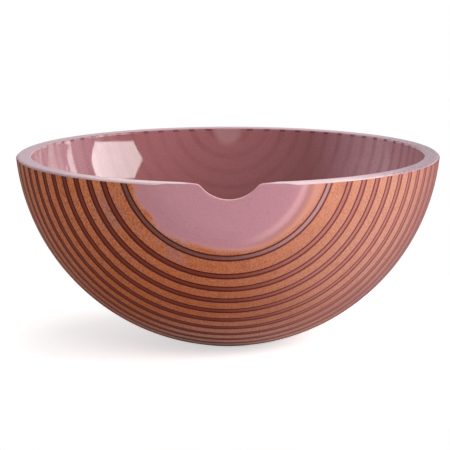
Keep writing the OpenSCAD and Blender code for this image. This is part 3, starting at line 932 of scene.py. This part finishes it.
def band_material(form, c):
    """Dark enamel: two edge lines and a lighter middle, which is greyer in the ring round the eye. Towards
    the right the lines and the middle are lighter with painted light, and at the far right both are darkened
    with painted shade.
    """
    m = Material("dark_enamel", IOR=1.45, Specular_IOR_Level=0.02)
    x, y, z = m.split(m.object_coords())
    alpha = front_angle(form, x, y, z)
    speck = m.noise(400.0, 5.0, 0.8)
    # right is the share of painted light towards the lit right, in the lines and the middle
    right = x.ramp(-0.03, 0.10)
    width = form.s.ring_width
    middle = ring_wave(form, alpha).ramp(width * 0.36, width * 0.16) * (right * 0.4 + 0.5)
    first = (alpha - form.s.first_ring).abs().ramp(0.06, 0.02)
    line = m.mix(right * 0.7, c.band_edge, c.band_edge_lit)
    tint = m.mix(right, c.band_middle, c.band_middle_lit)
    tint = m.mix(first * 0.8, tint, m.mix(right, c.band_grey, c.band_grey_lit))
    base = m.mix((middle * (first * 0.2 + 1.0) + (speck - 0.5) * 0.7).clamp(), line, tint)
    # painted shade: the rings darkened at the far right side
    base = m.mix(alpha.ramp(math.radians(50), math.radians(82)) * right * 0.85, base, c.far_right_shade)
    return m.finish(base, 0.46 + (speck - 0.5) * 0.15, speck, 0.12, 0.0003)


def metal_material(name, tint, rough):
    """Polished or turned metal with a fine uneven sheen."""
    m = Material(name, Metallic=1.0)
    fine, soft = m.noise(900.0, 3.0, 0.6), m.noise(24.0, 2.0, 0.5)
    base = m.mix(soft.ramp(0.35, 0.75) * 0.35, tint, [v * 0.86 for v in tint])
    rough = rough + (fine - 0.5) * 0.04 + (soft - 0.5) * 0.05
    return m.finish(base, rough, fine, 0.04, 0.0001)


def soft_material(name, tint, rough=0.6, grain=0.1):
    """Rubber or plastic with a fine grain."""
    m = Material(name)
    fine, soft = m.noise(500.0, 4.0, 0.6), m.noise(30.0, 2.0, 0.5)
    base = m.mix(soft.ramp(0.3, 0.8) * 0.4, tint, [v * 0.75 for v in tint])
    return m.finish(base, rough + (fine - 0.5) * 0.15, fine, grain, 0.0002)


# ---- studio ----

def floor_material():
    """A pale floor that keeps the shadow near the object and turns pure white further off."""
    m = Material("floor", Roughness=0.9, Specular_IOR_Level=0.1)
    x, y, z = m.split(m.object_coords())
    m.set(Base_Color=m.mix(m.noise(3.0, 3.0), (0.93, 0.93, 0.93), (0.95, 0.95, 0.95)))
    plain, seen = m.shader.outputs[0], m.seen("Camera", "Glossy")
    lifted = m.stack("ShaderNodeAddShader", plain, m.make("ShaderNodeEmission", Strength=0.6))
    near = m.stack("ShaderNodeMixShader", seen, plain, lifted)
    far = seen * distance(x, y, z, (0.0, 0.0, 0.0)).ramp(0.16, 0.45)
    return m.show(m.stack("ShaderNodeMixShader", far, near, m.make("ShaderNodeEmission", Strength=1.0)))


def lay_floor():
    """The floor, facing up."""
    corners = np.array([[[x, y, 0.0] for y in (-9.0, 9.0)] for x in (-9.0, 9.0)])
    floor = grid_piece("floor", corners)
    if floor.data.polygons[0].normal.z < 0:
        floor.data.flip_normals()
    floor.data.materials.append(floor_material())


def pane(wide, high, slant=0.0):
    """Corners of an upright window pane; slant raises its top at one side and lowers it at the other."""
    return [(-wide, -high), (wide, -high), (wide, high - slant), (-wide, high + slant)]


def reflector(name, centre, turn, rise, away, corners, strength):
    """A panel that only reflections show. The corners lie in its own plane, which faces the centre."""
    at = centre + direction(turn, rise) * away
    facing = (centre - at).to_track_quat("Z", "Y").to_matrix()
    mesh = bpy.data.meshes.new(name)
    mesh.from_pydata([at + facing @ Vector((u, v, 0)) for u, v in corners], [], [range(len(corners))])
    m = Material(name)
    m.tree.nodes.remove(m.shader)
    mesh.materials.append(m.show(m.make("ShaderNodeEmission", Strength=strength)))
    obj = linked(name, mesh)
    obj.visible_camera = obj.visible_diffuse = obj.visible_shadow = obj.visible_transmission = False


def hang_lamps(centre):
    """Round lamps turned to the centre, which reflections don't show."""
    for name, turn, rise, away, size, watts in LAMPS:
        data = bpy.data.lights.new(name, "AREA")
        data.shape = "DISK"
        data.size = size
        data.energy = watts
        lamp = linked(name, data)
        lamp.location = centre + direction(turn, rise) * away
        lamp.rotation_euler = (centre - lamp.location).to_track_quat("-Z", "Y").to_euler()
        lamp.visible_glossy = False


def surround(scene):
    """A world that is white where it is seen and softer as light."""
    world = bpy.data.worlds.new("studio")
    world.use_nodes = True
    build = Build()
    build.tree = world.node_tree
    build.tree.nodes.clear()
    light = build.make("ShaderNodeBackground", Color=(1, 1, 1), Strength=AMBIENT)
    white = build.make("ShaderNodeBackground", Color=(1, 1, 1), Strength=1.0)
    seen = build.seen("Camera", "Glossy", "Transmission")
    shown = build.stack("ShaderNodeMixShader", seen, light, white)
    build.feed(build.node("ShaderNodeOutputWorld").inputs["Surface"], shown)
    scene.world = world


def set_camera(scene, studio):
    """The camera on the circle that the studio's settings give, turned to its aim point."""
    elevation = studio.camera_elevation
    aim = Vector((studio.aim_x, 0, studio.aim_z))
    data = bpy.data.cameras.new("camera")
    data.sensor_width = 36.0
    data.lens = studio.focal * 1000
    data.clip_end = 40.0
    camera = linked("camera", data)
    camera.location = aim + Vector((0, -math.cos(elevation), math.sin(elevation))) * studio.camera_distance
    camera.rotation_euler = (aim - camera.location).to_track_quat("-Z", "Y").to_euler()
    camera.rotation_euler.rotate_axis("Z", studio.camera_roll)
    scene.camera = camera


# ---- operators ----

def sizes():
    return bpy.context.scene.sink_sizes


def colours():
    return bpy.context.scene.sink_colours


def frame_joint(name):
    """The frame's own record of a joint."""
    return next(joint for joint in frame["joints"] if joint["name"] == name)


class SINK_OT_bowl(Operator):
    """Builds the glass bowl with its notch, foot and waste hole"""
    bl_idname = "sink.bowl"
    bl_label = "Glass bowl"

    def execute(self, context):
        form = Form(sizes())
        points, lip = bowl_grid(form)
        obj = grid_piece("bowl_glass", points, close_u=True, close_v=True, attributes={"lip": lip})
        place(obj, BASIN, "rose_glass", glass_material(form, colours()), "glass_bowl")
        return FINISHED


class SINK_OT_overlay(Operator):
    """Builds the amber overlay with its ring grooves"""
    bl_idname = "sink.overlay"
    bl_label = "Overlay"

    def execute(self, context):
        form = Form(sizes())
        zones = []
        for i, profile in enumerate(overlay_zones(form)):
            profile = np.array(profile)
            radius, alpha = profile[:, 0][None, :], profile[:, 1][None, :]
            points = form.on_front_axis(radius, alpha, form.to_the_rim(radius, alpha, AROUND))
            points, keep = form.on_foot(points, radius)
            zones.append(grid_piece(f"zone_{i}", points, close_v=True, keep=keep, capped=True))
        obj = joined("overlay_amber", zones)
        place(obj, BASIN, "amber_overlay", overlay_material(form, colours()), "amber_overlay")
        return FINISHED


class SINK_OT_rings(Operator):
    """Lays the dark bands in the rings of the overlay"""
    bl_idname = "sink.rings"
    bl_label = "Ring bands"

    def execute(self, context):
        form = Form(sizes())
        material = band_material(form, colours())
        obj = piece_from("bands_dark", ring_bands(form, material), capped=True)
        place(obj, BASIN, "dark_enamel", material, "ring_bands")
        return FINISHED


class SINK_OT_waste(Operator):
    """Builds the waste's body with its seat, flange and threaded shank"""
    bl_idname = "sink.waste"
    bl_label = "Waste body"

    def execute(self, context):
        s = sizes()
        chrome = metal_material("chrome", (0.72, 0.73, 0.75), 0.08)
        top, half = s.flange_z + s.flange_thickness, s.flange_width / 2
        thread_low, thread_high = s.waste_z + s.flange_edge, s.flange_z - PLAIN
        bore, bore_end = (s.throat_radius, s.waste_z + CORNER), (s.throat_radius + CORNER, s.waste_z)
        corners = [(s.throat_radius, (s.waste_z + top) / 2), (s.throat_radius, top - s.seat_depth),
                   (s.seat_cone, top), (half, top), (half, s.flange_z), (s.shank_radius, s.flange_z)]
        body = rounded(corners, [0, 0.002, 0.001, s.flange_edge, CORNER, 0], 6)
        upper = [bore_end, bore] + body + [(s.shank_radius, thread_high)]
        lower = [(s.shank_radius, thread_low), (s.shank_radius - s.flange_edge, s.waste_z), bore_end]
        pieces = [grid_piece("part", lathe(line, TURNS), close_u=True) for line in (upper, lower)]
        pieces.append(piece_from("threads", shank_thread(s, thread_low, thread_high, chrome)))
        place(joined("waste_body", pieces), BASIN, "chrome", chrome, "drain_body")
        return FINISHED


class SINK_OT_spring(Operator):
    """Winds the cartridge's spring"""
    bl_idname = "sink.spring"
    bl_label = "Spring"

    def execute(self, context):
        steel = metal_material("spring_steel", (0.5, 0.5, 0.5), 0.25)
        low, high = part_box("cartridge_spring")
        obj = piece_from("spring", coil_spring(sizes(), low.z, high.z, steel))
        place(obj, BASIN, "chrome", steel, "cartridge_spring")
        height = high.z - low.z
        travel = max(abs(limit) for limit in frame_joint("stopper_press")["range_m"])
        (height - travel) / height
        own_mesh(obj)
        return FINISHED


class SINK_OT_finishes(Operator):
    """Gives the metal, rubber and plastic pieces their materials"""
    bl_idname = "sink.finishes"
    bl_label = "Finishes"

    def execute(self, context):
        chrome = bpy.data.materials["chrome"]
        brass = metal_material("brass", (0.62, 0.4, 0.14), 0.3)
        steel = bpy.data.materials["spring_steel"]
        black = soft_material("black_rubber", (0.018, 0.018, 0.018))
        clear = soft_material("clear_rubber", (0.6, 0.61, 0.6), 0.35)
        white = soft_material("white_plastic", (0.72, 0.72, 0.69), 0.4, grain=0.05)
        grey = soft_material("grey_plastic", (0.1, 0.105, 0.11), 0.4, grain=0.05)
        finish = {
            chrome: ["stopper_cap", "tailpiece"],
            brass: ["lock_nut", "cartridge_nut", "cartridge_bridge"],
            steel: ["stopper_stem"],
            black: ["flange_gasket", "counter_washer", "stopper_seal", "tailpiece_gasket"],
            clear: ["base_gasket"],
            white: ["slip_washer", "cartridge_housing"],
            grey: ["cartridge_bushing", "index_rotor"],
        }
        for material, nodes in finish.items():
            for node in nodes:
                obj = frame["nodes"][node]
                if not obj.material_slots:
                    raise RuntimeError(node + " has no material slot")
                for entry in obj.material_slots:
                    entry.material = material
        return FINISHED


class SINK_OT_stage(Operator):
    """Sets the floor, the lights, the world and the camera"""
    bl_idname = "sink.stage"
    bl_label = "Studio"

    def execute(self, context):
        scene = context.scene
        centre = Vector((0, 0, Form(sizes()).rim * 0.6))
        set_camera(scene, scene.sink_studio)
        lay_floor()
        hang_lamps(centre)
        reflector("softbox", centre, 74, 15, 1.9, SOFTBOX, 25.0)
        reflector("window_near", centre, 115.2, 5, 3.0, pane(0.15, 0.6), 9.0)
        reflector("window_middle", centre, 125.2, 6, 3.0, pane(0.26, 0.22, 0.06), 9.0)
        reflector("window_far", centre, 143, 0, 3.0, pane(0.28, 0.3), 6.0)
        surround(scene)
        scene.view_settings.view_transform = "Standard"
        return FINISHED


class SINK_PT_panel(Panel):
    """Sizes, colours and the build steps"""
    bl_idname = "SINK_PT_panel"
    bl_label = "Vessel sink"
    bl_space_type = "VIEW_3D"
    bl_region_type = "UI"
    bl_category = "Sink"

    def draw(self, context):
        for group in ("sink_sizes", "sink_colours", "sink_studio"):
            box = self.layout.box()
            settings = getattr(context.scene, group)
            for key in settings.__annotations__:
                box.prop(settings, key)
        for operator in STEPS:
            self.layout.operator(operator.bl_idname)


STEPS = (SINK_OT_bowl, SINK_OT_overlay, SINK_OT_rings, SINK_OT_waste, SINK_OT_spring, SINK_OT_finishes,
         SINK_OT_stage)
CLASSES = (SinkSizes, SinkColours, StudioSettings, *STEPS, SINK_PT_panel)


def register():
    for cls in CLASSES:
        bpy.utils.register_class(cls)
    bpy.types.Scene.sink_sizes = PointerProperty(type=SinkSizes)
    bpy.types.Scene.sink_colours = PointerProperty(type=SinkColours)
    bpy.types.Scene.sink_studio = PointerProperty(type=StudioSettings)


def unregister():
    for name in ("sink_sizes", "sink_colours", "sink_studio"):
        delattr(bpy.types.Scene, name)
    for cls in reversed(CLASSES):
        bpy.utils.unregister_class(cls)


def main():
    register()
    for step in (bpy.ops.sink.bowl, bpy.ops.sink.overlay, bpy.ops.sink.rings, bpy.ops.sink.waste,
                 bpy.ops.sink.spring, bpy.ops.sink.finishes, bpy.ops.sink.stage):
        if step() != FINISHED:
            raise RuntimeError("a build step didn't finish")


if __name__ == "__main__":
    main()
